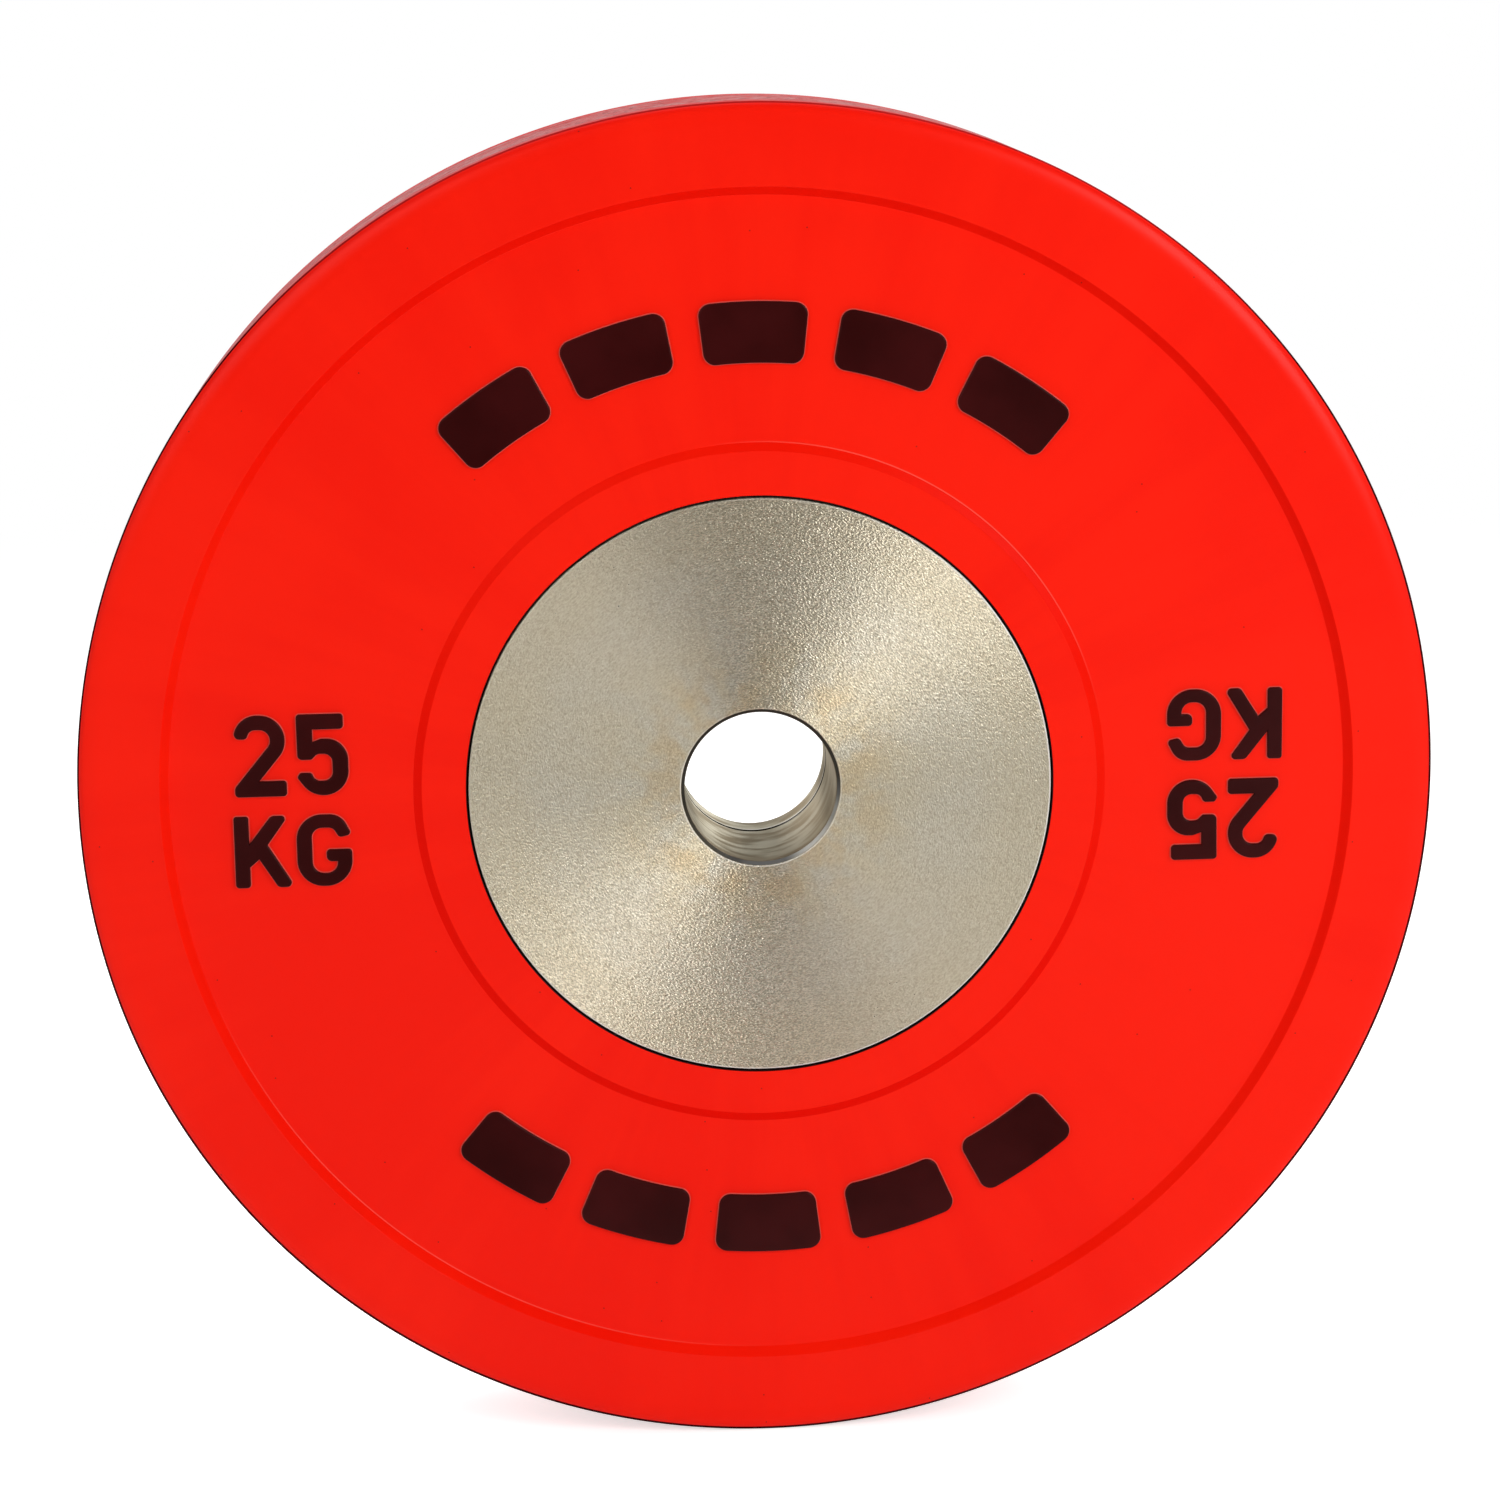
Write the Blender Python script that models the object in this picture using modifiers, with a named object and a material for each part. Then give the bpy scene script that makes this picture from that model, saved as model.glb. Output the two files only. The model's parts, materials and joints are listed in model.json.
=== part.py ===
"""A 25 kg competition-style rubber bumper plate with a bolted steel hub.

The plate stands upright on its tread. Its axis is Y, the front face looks
along -Y, +Z is up, and the origin is on the axis, midway between the faces.
A turned outline is a list of (radius, height) points, in which height runs
along the axis towards the front face.
"""
import math

import bpy

# Rubber bumper, in metres
PLATE_DIAMETER = 0.450
RIM_WIDTH = 0.065
RIM_INNER_RADIUS = 0.19795
RIM_EDGE_WIDTH = 0.0075
RIM_EDGE_DEPTH = 0.0034
WEB_WIDTH = 0.0592
WEB_OUTER_RADIUS = 0.19515
WEB_INNER_RADIUS = 0.11495
COLLAR_WIDTH = 0.0612
COLLAR_RADIUS = 0.1122
COLLAR_EDGE = 0.0006

# Steel hub: two discs, one of them with a spigot, on a core ring
HUB_WIDTH = 0.0615
HUB_RADIUS = 0.0967
HUB_GAP = 0.00065
HUB_EDGE = 0.0004
LIP_THICKNESS = 0.006
SEAT_RADIUS = 0.085
BORE_DIAMETER = 0.0505
BORE_CHAMFER = 0.0015
SPIGOT_RADIUS = 0.0497
SPIGOT_DEPTH = 0.0474
CORE_RADIUS = 0.150
CORE_THICKNESS = 0.012
CORE_EDGE = 0.001

# Rubber pegs through the core ring
PEG_COUNT = 8
PEG_CIRCLE_RADIUS = 0.118
PEG_HOLE_RADIUS = 0.011

# Six M12 socket-head screws, put in from the back
BOLT_COUNT = 6
BOLT_CIRCLE_RADIUS = 0.0675
BOLT_RADIUS = 0.006
BOLT_TIP_HEIGHT = 0.019
BOLT_HEAD_RADIUS = 0.009
BOLT_HEAD_HEIGHT = 0.012
BOLT_HEAD_EDGE = 0.0008
BOLT_HEAD_SUNK = 0.001
BOLT_SOCKET_ACROSS_FLATS = 0.010
BOLT_SOCKET_DEPTH = 0.006
BOLT_HOLE_RADIUS = 0.0066
COUNTERBORE_RADIUS = 0.0098

# Raised marks on the web
MARK_HEIGHT = 0.0013
DIGIT_BASE = 0.0017
LETTER_BASE = -0.0290
DASH_COUNT = 5
DASH_RADIUS = 0.151
DASH_WIDTH = 0.020
DASH_ARC = math.radians(13.0)
DASH_PITCH = math.radians(17.0)
DASH_CORNER = 0.004

# Gap between touching meshes, the wider one between rings whose facets
# don't line up, and the facets of round shapes
GAP = 0.0003
RING_GAP = 0.0006
RUBBER_STEPS = 72
HUB_STEPS = 48
BOLT_STEPS = 12
EDGE_STEPS = 5
MARK_TOLERANCE = 0.08  # millimetres between an arc and its chords
MERGE_DISTANCE = 0.00001

RED = (0.97, 0.014, 0.007, 1.0)
BLACK = (0.018, 0.004, 0.005, 1.0)
STEEL = (0.48, 0.45, 0.40, 1.0)
DARK_STEEL = (0.16, 0.16, 0.17, 1.0)
ZINC = (0.55, 0.55, 0.56, 1.0)


def clear_scene():
    for thing in list(bpy.data.objects):
        bpy.data.objects.remove(thing, do_unlink=True)


def new_collection(name):
    made = bpy.data.collections.new(name)
    bpy.context.scene.collection.children.link(made)
    return made


def finish_of(name, colour, roughness, metallic):
    made = bpy.data.materials.new(name)
    made.use_nodes = True
    shader = made.node_tree.nodes["Principled BSDF"]
    shader.inputs["Base Color"].default_value = colour
    shader.inputs["Roughness"].default_value = roughness
    shader.inputs["Metallic"].default_value = metallic
    return made


def rubber(name, colour):
    return finish_of(name + "_rubber", colour, 0.45, 0.0)


def steel(name, colour):
    return finish_of(name + "_steel", colour, 0.35, 1.0)


def linked(name, data, collection):
    made = bpy.data.objects.new(name, data)
    collection.objects.link(made)
    return made


def along_axis(thing):
    """Turn a shape made along +Z so that its +Z looks to the front of the plate."""
    thing.rotation_euler = (math.pi / 2, 0, 0)
    return thing


def revolved(name, points, edges, steps, collection):
    """Revolve an outline about its object's axis."""
    mesh = bpy.data.meshes.new(name)
    mesh.from_pydata(points, edges, [])
    made = along_axis(linked(name, mesh, collection))
    screw = made.modifiers.new("turn", "SCREW")
    screw.steps = steps
    screw.render_steps = steps
    screw.use_merge_vertices = True
    screw.merge_threshold = MERGE_DISTANCE
    return made


def ring(name, outline, steps, collection):
    """A ring about the plate's axis, whose radii are those of its flats."""
    turn = math.pi / steps
    out = 1.0 / math.cos(turn)
    points = [(r * out * math.cos(turn), r * out * math.sin(turn), h) for r, h in outline]
    edges = [(i, (i + 1) % len(points)) for i in range(len(points))]
    return revolved(name, points, edges, steps, collection)


def stud(name, outline, steps, spot, collection):
    """A solid pin along the axis, from an outline that starts and ends on its own axis."""
    points = [(r, 0.0, h) for r, h in outline]
    edges = [(i, i + 1) for i in range(len(points) - 1)]
    made = revolved(name, points, edges, steps, collection)
    made.location = (spot[0], 0.0, spot[1])
    return made


def on_circle(count, radius):
    turns = [2 * math.pi * i / count for i in range(count)]
    return [(radius * math.sin(a), radius * math.cos(a)) for a in turns]


def rod(name, radius, low, high, steps, centre, collection):
    """A cylinder along the axis from height low to height high."""
    bpy.ops.mesh.primitive_cylinder_add(vertices=steps, radius=radius, depth=high - low)
    made = along_axis(bpy.context.object)
    made.name = name
    made.location = (centre[0], -(low + high) / 2, centre[1])
    for home in list(made.users_collection):
        home.objects.unlink(made)
    collection.objects.link(made)
    return made


def hide_tool(tool):
    tool.hide_render = True
    tool.display_type = "WIRE"


def combine(thing, tool, operation):
    change = thing.modifiers.new(tool.name, "BOOLEAN")
    change.operation = operation
    change.object = tool
    change.solver = "EXACT"
    hide_tool(tool)


def edge_round(radius, height, width, depth, steps):
    """Points of a quarter ellipse from a face at this height to a wall at this radius."""
    points = []
    for i in range(steps + 1):
        a = math.pi / 2 * i / steps
        points.append((radius - width + width * math.sin(a), height - depth + depth * math.cos(a)))
    return points


def mirrored(half):
    """Close an outline whose back half mirrors the front half."""
    return half + [(r, -h) for r, h in reversed(half)]


def rubber_body(parts, tools):
    slot = CORE_THICKNESS / 2 + GAP
    seat = HUB_WIDTH / 2 - LIP_THICKNESS - GAP
    mouth = HUB_RADIUS + HUB_GAP
    half = [
        (CORE_RADIUS + RING_GAP, slot),
        (SEAT_RADIUS + RING_GAP, slot),
        (SEAT_RADIUS + RING_GAP, seat),
        (mouth, seat),
        (mouth, COLLAR_WIDTH / 2 - COLLAR_EDGE),
        (mouth + COLLAR_EDGE, COLLAR_WIDTH / 2),
        (COLLAR_RADIUS, COLLAR_WIDTH / 2),
        (WEB_INNER_RADIUS, WEB_WIDTH / 2),
        (WEB_OUTER_RADIUS, WEB_WIDTH / 2),
        (RIM_INNER_RADIUS, RIM_WIDTH / 2),
    ]
    half += edge_round(PLATE_DIAMETER / 2, RIM_WIDTH / 2, RIM_EDGE_WIDTH, RIM_EDGE_DEPTH, EDGE_STEPS)
    body = ring("rubber_body", mirrored(half), RUBBER_STEPS, parts)
    body.data.materials.append(rubber("body", RED))
    for i, spot in enumerate(on_circle(PEG_COUNT, PEG_CIRCLE_RADIUS)):
        reach = slot + GAP
        peg = rod(f"peg_{i + 1}", PEG_HOLE_RADIUS - GAP, -reach, reach, BOLT_STEPS, spot, tools)
        combine(body, peg, "UNION")


def core_ring(parts, tools):
    top = CORE_THICKNESS / 2 - GAP / 2
    inner = SPIGOT_RADIUS + GAP
    half = [(inner, top), (CORE_RADIUS - CORE_EDGE, top), (CORE_RADIUS, top - CORE_EDGE)]
    core = ring("core_ring", mirrored(half), HUB_STEPS, parts)
    core.data.materials.append(steel("core", DARK_STEEL))
    for i, spot in enumerate(on_circle(PEG_COUNT, PEG_CIRCLE_RADIUS)):
        hole = rod(f"peg_hole_{i + 1}", PEG_HOLE_RADIUS, -2 * top, 2 * top, BOLT_STEPS, spot, tools)
        combine(core, hole, "DIFFERENCE")
    for i, spot in enumerate(on_circle(BOLT_COUNT, BOLT_CIRCLE_RADIUS)):
        hole = rod(f"core_hole_{i + 1}", BOLT_HOLE_RADIUS, -2 * top, 2 * top, BOLT_STEPS, spot, tools)
        combine(core, hole, "DIFFERENCE")


def front_hub_disc(parts, tools):
    face = HUB_WIDTH / 2
    seat = CORE_THICKNESS / 2 + GAP / 2
    bore = BORE_DIAMETER / 2
    outline = [
        (bore + BORE_CHAMFER, face),
        (HUB_RADIUS - HUB_EDGE, face),
        (HUB_RADIUS, face - HUB_EDGE),
        (HUB_RADIUS, face - LIP_THICKNESS),
        (SEAT_RADIUS, face - LIP_THICKNESS),
        (SEAT_RADIUS, seat),
        (SPIGOT_RADIUS, seat),
        (SPIGOT_RADIUS, face - SPIGOT_DEPTH),
        (bore, face - SPIGOT_DEPTH),
        (bore, face - BORE_CHAMFER),
    ]
    disc = ring("front_hub_disc", outline, HUB_STEPS, parts)
    disc.data.materials.append(steel("front_disc", STEEL))
    end = BOLT_TIP_HEIGHT + 2 * GAP
    for i, spot in enumerate(on_circle(BOLT_COUNT, BOLT_CIRCLE_RADIUS)):
        hole = rod(f"thread_{i + 1}", BOLT_RADIUS + GAP, 0.0, end, BOLT_STEPS, spot, tools)
        combine(disc, hole, "DIFFERENCE")


def back_hub_disc(parts, tools):
    face = HUB_WIDTH / 2
    seat = CORE_THICKNESS / 2 + GAP / 2
    bore = BORE_DIAMETER / 2
    floor = SPIGOT_DEPTH - face + GAP
    outline = [
        (SPIGOT_RADIUS + GAP, -seat),
        (SEAT_RADIUS, -seat),
        (SEAT_RADIUS, LIP_THICKNESS - face),
        (HUB_RADIUS, LIP_THICKNESS - face),
        (HUB_RADIUS, HUB_EDGE - face),
        (HUB_RADIUS - HUB_EDGE, -face),
        (bore + BORE_CHAMFER, -face),
        (bore, BORE_CHAMFER - face),
        (bore, -floor),
        (SPIGOT_RADIUS + GAP, -floor),
    ]
    disc = ring("back_hub_disc", outline, HUB_STEPS, parts)
    disc.data.materials.append(steel("back_disc", STEEL))
    shoulder = BOLT_HEAD_SUNK + BOLT_HEAD_HEIGHT - face + GAP
    for i, spot in enumerate(on_circle(BOLT_COUNT, BOLT_CIRCLE_RADIUS)):
        hole = rod(f"back_hole_{i + 1}", BOLT_HOLE_RADIUS, -face, 0.0, BOLT_STEPS, spot, tools)
        combine(disc, hole, "DIFFERENCE")
        sink = rod(f"counterbore_{i + 1}", COUNTERBORE_RADIUS, -2 * face, shoulder, BOLT_STEPS, spot, tools)
        combine(disc, sink, "DIFFERENCE")


def hub_bolts(parts, tools):
    top = BOLT_HEAD_SUNK - HUB_WIDTH / 2
    under = top + BOLT_HEAD_HEIGHT
    finish = steel("bolt", ZINC)
    for i, spot in enumerate(on_circle(BOLT_COUNT, BOLT_CIRCLE_RADIUS)):
        outline = [
            (0.0, BOLT_TIP_HEIGHT),
            (BOLT_RADIUS - BOLT_HEAD_EDGE, BOLT_TIP_HEIGHT),
            (BOLT_RADIUS, BOLT_TIP_HEIGHT - BOLT_HEAD_EDGE),
            (BOLT_RADIUS, under),
            (BOLT_HEAD_RADIUS, under),
            (BOLT_HEAD_RADIUS, top + BOLT_HEAD_EDGE),
            (BOLT_HEAD_RADIUS - BOLT_HEAD_EDGE, top),
            (0.0, top),
        ]
        bolt = stud(f"hub_bolt_{i + 1}", outline, BOLT_STEPS, spot, parts)
        bolt.data.materials.append(finish)
        corner = BOLT_SOCKET_ACROSS_FLATS / 2 / math.cos(math.pi / 6)
        floor = top + BOLT_SOCKET_DEPTH
        socket = rod(f"socket_{i + 1}", corner, 2 * top, floor, 6, spot, tools)
        combine(bolt, socket, "DIFFERENCE")


def corner_arc(before, corner, after, radius):
    """Points of the arc that rounds one corner of a flat outline."""
    if radius == 0:
        return [corner]
    ax, az = before[0] - corner[0], before[1] - corner[1]
    bx, bz = after[0] - corner[0], after[1] - corner[1]
    a_len, b_len = math.hypot(ax, az), math.hypot(bx, bz)
    ax, az, bx, bz = ax / a_len, az / a_len, bx / b_len, bz / b_len
    inside = math.acos(max(-1.0, min(1.0, ax * bx + az * bz)))
    reach = radius / math.tan(inside / 2)
    mx, mz = ax + bx, az + bz
    m_len = math.hypot(mx, mz)
    off = radius / math.sin(inside / 2)
    cx, cz = corner[0] + mx / m_len * off, corner[1] + mz / m_len * off
    start = math.atan2(corner[1] + az * reach - cz, corner[0] + ax * reach - cx)
    end = math.atan2(corner[1] + bz * reach - cz, corner[0] + bx * reach - cx)
    turn = (end - start + math.pi) % (2 * math.pi) - math.pi
    step = 2 * math.acos(1 - MARK_TOLERANCE / radius)
    count = max(2, math.ceil(abs(turn) / step))
    angles = [start + turn * i / count for i in range(count + 1)]
    return [(cx + radius * math.cos(a), cz + radius * math.sin(a)) for a in angles]


def rounded(corners):
    """A flat outline from (x, z, corner radius) in millimetres, given in metres."""
    points = []
    spots = [(x, z) for x, z, r in corners]
    for i, (x, z, r) in enumerate(corners):
        after = spots[(i + 1) % len(spots)]
        points += corner_arc(spots[i - 1], (x, z), after, r)
    return [(x * 0.001, z * 0.001) for x, z in points]


def digit_two():
    return rounded([
        (-0.15, 19.5, 1.2), (1.92, 27.2, 8.4), (16.85, 27.2, 8.4), (16.85, 15.67, 8.4),
        (8.06, 5.2, 0), (17.0, 5.2, 1.2), (17.0, 0, 1.2), (0, 0, 1.3), (0, 3.1, 2.0),
        (12.0, 17.44, 3.5), (12.0, 22.4, 3.5), (5.3, 22.4, 2.5), (4.4, 19.3, 1.0),
    ])


def digit_five():
    return rounded([
        (0, 27.2, 1.2), (15.4, 27.2, 1.3), (15.4, 22.1, 1.3), (5.2, 22.1, 0), (5.2, 17.9, 0),
        (8.0, 18.9, 3.0), (16.7, 18.9, 6.6), (16.7, 0, 7.4), (4.3, 0, 5.0), (-0.2, 6.1, 1.0),
        (0.8, 7.6, 0.9), (4.6, 7.6, 1.4), (6.4, 4.8, 1.8), (11.5, 4.8, 2.2), (11.5, 13.9, 2.4),
        (6.6, 13.9, 2.0), (4.7, 12.0, 1.0), (0.1, 12.0, 1.6),
    ])


def letter_k():
    return rounded([
        (0, 24.1, 1.0), (4.9, 24.1, 1.0), (4.9, 14.7, 0), (12.3, 24.1, 2.2), (18.0, 24.1, 1.2),
        (10.9, 14.3, 0.2), (19.5, 0, 1.5), (14.0, 0, 1.8), (8.0, 9.6, 0), (4.9, 6.9, 0.3),
        (4.9, 0, 1.2), (0, 0, 1.2),
    ])


def letter_g():
    return rounded([
        (0, 24.1, 8.4), (14.7, 24.1, 6.0), (18.2, 17.2, 1.2), (14.0, 16.3, 1.4), (12.0, 19.7, 2.6),
        (5.0, 19.7, 3.4), (5.0, 4.3, 3.8), (13.3, 4.3, 3.6), (13.3, 8.3, 0), (9.7, 8.3, 1.7),
        (9.7, 12.3, 1.3), (18.1, 12.3, 1.2), (18.1, 0, 8.6), (0, 0, 8.6),
    ])


def dash(turn):
    """A short arc with round corners, turned about the plate's centre from the top."""
    half = DASH_RADIUS * DASH_ARC / 2
    side = DASH_WIDTH / 2
    corner = DASH_CORNER * 1000
    x, z = half * 1000, side * 1000
    rest = x - corner
    middles = [rest * k / 2 for k in (-1, 0, 1)]
    strip = [(-x, z, corner)] + [(m, z, 0) for m in middles] + [(x, z, corner)]
    strip += [(x, -z, corner)] + [(-m, -z, 0) for m in middles] + [(-x, -z, corner)]
    bent = []
    for u, v in rounded(strip):
        angle = turn + u / DASH_RADIUS
        bent.append(((DASH_RADIUS + v) * math.sin(angle), (DASH_RADIUS + v) * math.cos(angle)))
    return bent


def raised_mark(name, outline, offset, frame, collection, finish):
    """A flat mark of even thickness that stands on the web."""
    data = bpy.data.curves.new(name, "CURVE")
    data.dimensions = "2D"
    data.fill_mode = "BOTH"
    thickness = MARK_HEIGHT - GAP
    data.extrude = thickness / 2
    spline = data.splines.new("POLY")
    spline.points.add(len(outline) - 1)
    for point, (x, z) in zip(spline.points, outline):
        point.co = (x, z, 0.0, 1.0)
    spline.use_cyclic_u = True
    made = along_axis(linked(name, data, collection))
    made.location = (offset[0], -(WEB_WIDTH / 2 + GAP + thickness / 2), offset[1])
    made.parent = frame
    data.materials.append(finish)
    return made


def face_marks(side, turn, collection, finish):
    """The weight marks left and right, and a row of dashes above and below."""
    frame = linked(side + "_marks", None, collection)
    frame.rotation_euler = (0, 0, turn)
    upside_down = linked(side + "_marks_turned", None, collection)
    upside_down.parent = frame
    upside_down.rotation_euler = (0, math.pi, 0)
    glyphs = (
        ("digit_2", digit_two, (-0.1733, DIGIT_BASE)),
        ("digit_5", digit_five, (-0.1526, DIGIT_BASE)),
        ("letter_K", letter_k, (-0.1743, LETTER_BASE)),
        ("letter_G", letter_g, (-0.1538, LETTER_BASE)),
    )
    for place, holder in (("left", frame), ("right", upside_down)):
        for glyph, shape, offset in glyphs:
            raised_mark(f"{side}_{place}_{glyph}", shape(), offset, holder, collection, finish)
    for place, holder in (("top", frame), ("bottom", upside_down)):
        for i in range(DASH_COUNT):
            outline = dash((i - (DASH_COUNT - 1) / 2) * DASH_PITCH)
            raised_mark(f"{side}_{place}_dash_{i + 1}", outline, (0, 0), holder, collection, finish)


def build():
    clear_scene()
    parts = new_collection("weight_plate")
    tools = new_collection("cutters")
    rubber_body(parts, tools)
    core_ring(parts, tools)
    front_hub_disc(parts, tools)
    back_hub_disc(parts, tools)
    hub_bolts(parts, tools)
    finish = rubber("marks", BLACK)
    face_marks("front", 0.0, parts, finish)
    face_marks("back", math.pi, parts, finish)


build()
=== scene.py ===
import json
import math

import bmesh
import bpy
from mathutils import Matrix, Vector

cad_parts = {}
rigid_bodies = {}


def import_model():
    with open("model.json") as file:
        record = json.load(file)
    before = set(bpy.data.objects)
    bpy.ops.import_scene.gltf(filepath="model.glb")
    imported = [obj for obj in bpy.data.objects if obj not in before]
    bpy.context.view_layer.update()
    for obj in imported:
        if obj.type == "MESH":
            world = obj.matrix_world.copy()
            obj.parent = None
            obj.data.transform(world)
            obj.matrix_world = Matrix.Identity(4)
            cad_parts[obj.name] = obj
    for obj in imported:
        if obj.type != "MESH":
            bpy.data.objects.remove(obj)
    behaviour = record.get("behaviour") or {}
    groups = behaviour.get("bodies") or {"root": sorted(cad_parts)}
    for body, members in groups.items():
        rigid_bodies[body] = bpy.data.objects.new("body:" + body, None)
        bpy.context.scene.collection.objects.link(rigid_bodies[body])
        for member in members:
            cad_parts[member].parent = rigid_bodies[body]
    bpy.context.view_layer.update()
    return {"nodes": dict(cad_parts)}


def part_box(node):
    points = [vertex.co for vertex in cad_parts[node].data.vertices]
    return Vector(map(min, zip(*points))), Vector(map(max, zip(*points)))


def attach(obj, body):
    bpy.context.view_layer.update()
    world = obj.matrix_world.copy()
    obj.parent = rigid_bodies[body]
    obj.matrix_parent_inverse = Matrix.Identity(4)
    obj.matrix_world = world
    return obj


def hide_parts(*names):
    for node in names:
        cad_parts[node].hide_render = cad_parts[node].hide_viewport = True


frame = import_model()

mm = 0.001

# Sizes that the solids already have, in metres. The axis is Y and the front looks along -Y.
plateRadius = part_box("rubber_body")[1].z
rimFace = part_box("rubber_body")[1].y
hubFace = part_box("back_hub_disc")[1].y
markTop = -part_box("front_left_digit_2")[0].y
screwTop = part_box("hub_bolt_1")[1].y
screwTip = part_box("hub_bolt_1")[0].y
screwCircle = sum(corner.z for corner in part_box("hub_bolt_1")) / 2


def say(words):
    print("weight plate:", words)


class Value:
    # a node's output that takes part in sums: each operator adds a Math node
    def __init__(self, bench, socket):
        self.bench = bench
        self.socket = socket

    def maths(self, operation, *terms):
        return self.bench.add("ShaderNodeMath", {"operation": operation}, dict(enumerate(terms)))

    def __add__(self, other):
        return self.maths("ADD", self, other)

    def __sub__(self, other):
        return self.maths("SUBTRACT", self, other)

    def __rsub__(self, other):
        return self.maths("SUBTRACT", other, self)

    def __mul__(self, other):
        return self.maths("MULTIPLY", self, other)

    def __truediv__(self, other):
        return self.maths("DIVIDE", self, other)

    def __pow__(self, other):
        return self.maths("POWER", self, other)

    def __abs__(self):
        return self.maths("ABSOLUTE", self)

    __radd__ = __add__
    __rmul__ = __mul__

    def above(self, edge):
        return self.maths("GREATER_THAN", self, edge)

    def larger(self, other):
        return self.maths("MAXIMUM", self, other)


class Bench:
    # builds the nodes of one material or of the world
    def __init__(self, tree):
        self.tree = tree
        tree.nodes.clear()

    def add(self, kind, settings=None, inputs=None, output=0):
        made = self.tree.nodes.new(kind)
        for name, value in (settings or {}).items():
            setattr(made, name, value)
        for name, value in (inputs or {}).items():
            socket = made.inputs[name]
            if isinstance(value, Value):
                self.tree.links.new(value.socket, socket)
            else:
                socket.default_value = value
        return Value(self, made.outputs[output]) if made.outputs else None

    def split(self, vector):
        parts = self.add("ShaderNodeSeparateXYZ", {}, {"Vector": vector}).socket.node
        return [Value(self, socket) for socket in parts.outputs]

    def coordinates(self):
        # the piece's own: the plate's face is X and Y, and Z looks to its front
        return self.add("ShaderNodeTexCoord", output="Object")

    def vector(self, x, y, z):
        return self.add("ShaderNodeCombineXYZ", {}, {"X": x, "Y": y, "Z": z})

    def noise(self, at, scale, detail, roughness=0.5):
        inputs = {"Vector": at, "Scale": scale, "Detail": detail, "Roughness": roughness}
        return self.add("ShaderNodeTexNoise", {}, inputs)

    def drawn(self, x, y, third, along, across, detail, roughness=0.5):
        # noise with one scale round the circle and another across it
        return self.noise(self.vector(x * along, y * along, third * across), 1.0, detail, roughness)

    def ease(self, value, low, high, first=0.0, last=1.0):
        settings = {"interpolation_type": "SMOOTHSTEP"}
        inputs = {"Value": value, "From Min": low, "From Max": high, "To Min": first, "To Max": last}
        return self.add("ShaderNodeMapRange", settings, inputs)

    def contrast(self, noise, reach):
        # noise lies close to a half, so it is stretched from there
        return self.ease(noise, 0.5 - reach, 0.5 + reach)

    def band(self, value, low, high, soft):
        # 1 between two soft edges
        return self.ease(value, low, low + soft) * self.ease(value, high - soft, high, 1.0, 0.0)

    def blend(self, amount, first, second, mode="MIX"):
        settings = {"data_type": "RGBA", "blend_type": mode}
        return self.add("ShaderNodeMix", settings, {0: amount, 6: first, 7: second}, output=2)

    def bump(self, height, distance, strength):
        inputs = {"Height": height, "Distance": distance, "Strength": strength}
        return self.add("ShaderNodeBump", {}, inputs)

    def shader(self, inputs):
        return self.add("ShaderNodeBsdfPrincipled", {}, inputs)

    def surface(self, shader):
        self.add("ShaderNodeOutputMaterial", {}, {"Surface": shader})


def newMaterial(name):
    made = bpy.data.materials.new(name)
    made.use_nodes = True
    return made, Bench(made.node_tree)


class Spot:
    # a point of the piece: its radius and height, and across and up on the unit circle, where a pattern
    # round the axis has no seam
    def __init__(self, bench):
        self.at = bench.coordinates()
        self.x, self.y, self.z = bench.split(self.at)
        self.radius = (self.x * self.x + self.y * self.y) ** 0.5
        self.across = self.x / self.radius
        self.up = self.y / self.radius

    def towards(self, degrees):
        # 1 on the side of the plate that lies at this angle, and -1 on the far side
        turn = math.radians(degrees)
        return self.across * math.cos(turn) + self.up * math.sin(turn)


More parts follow.
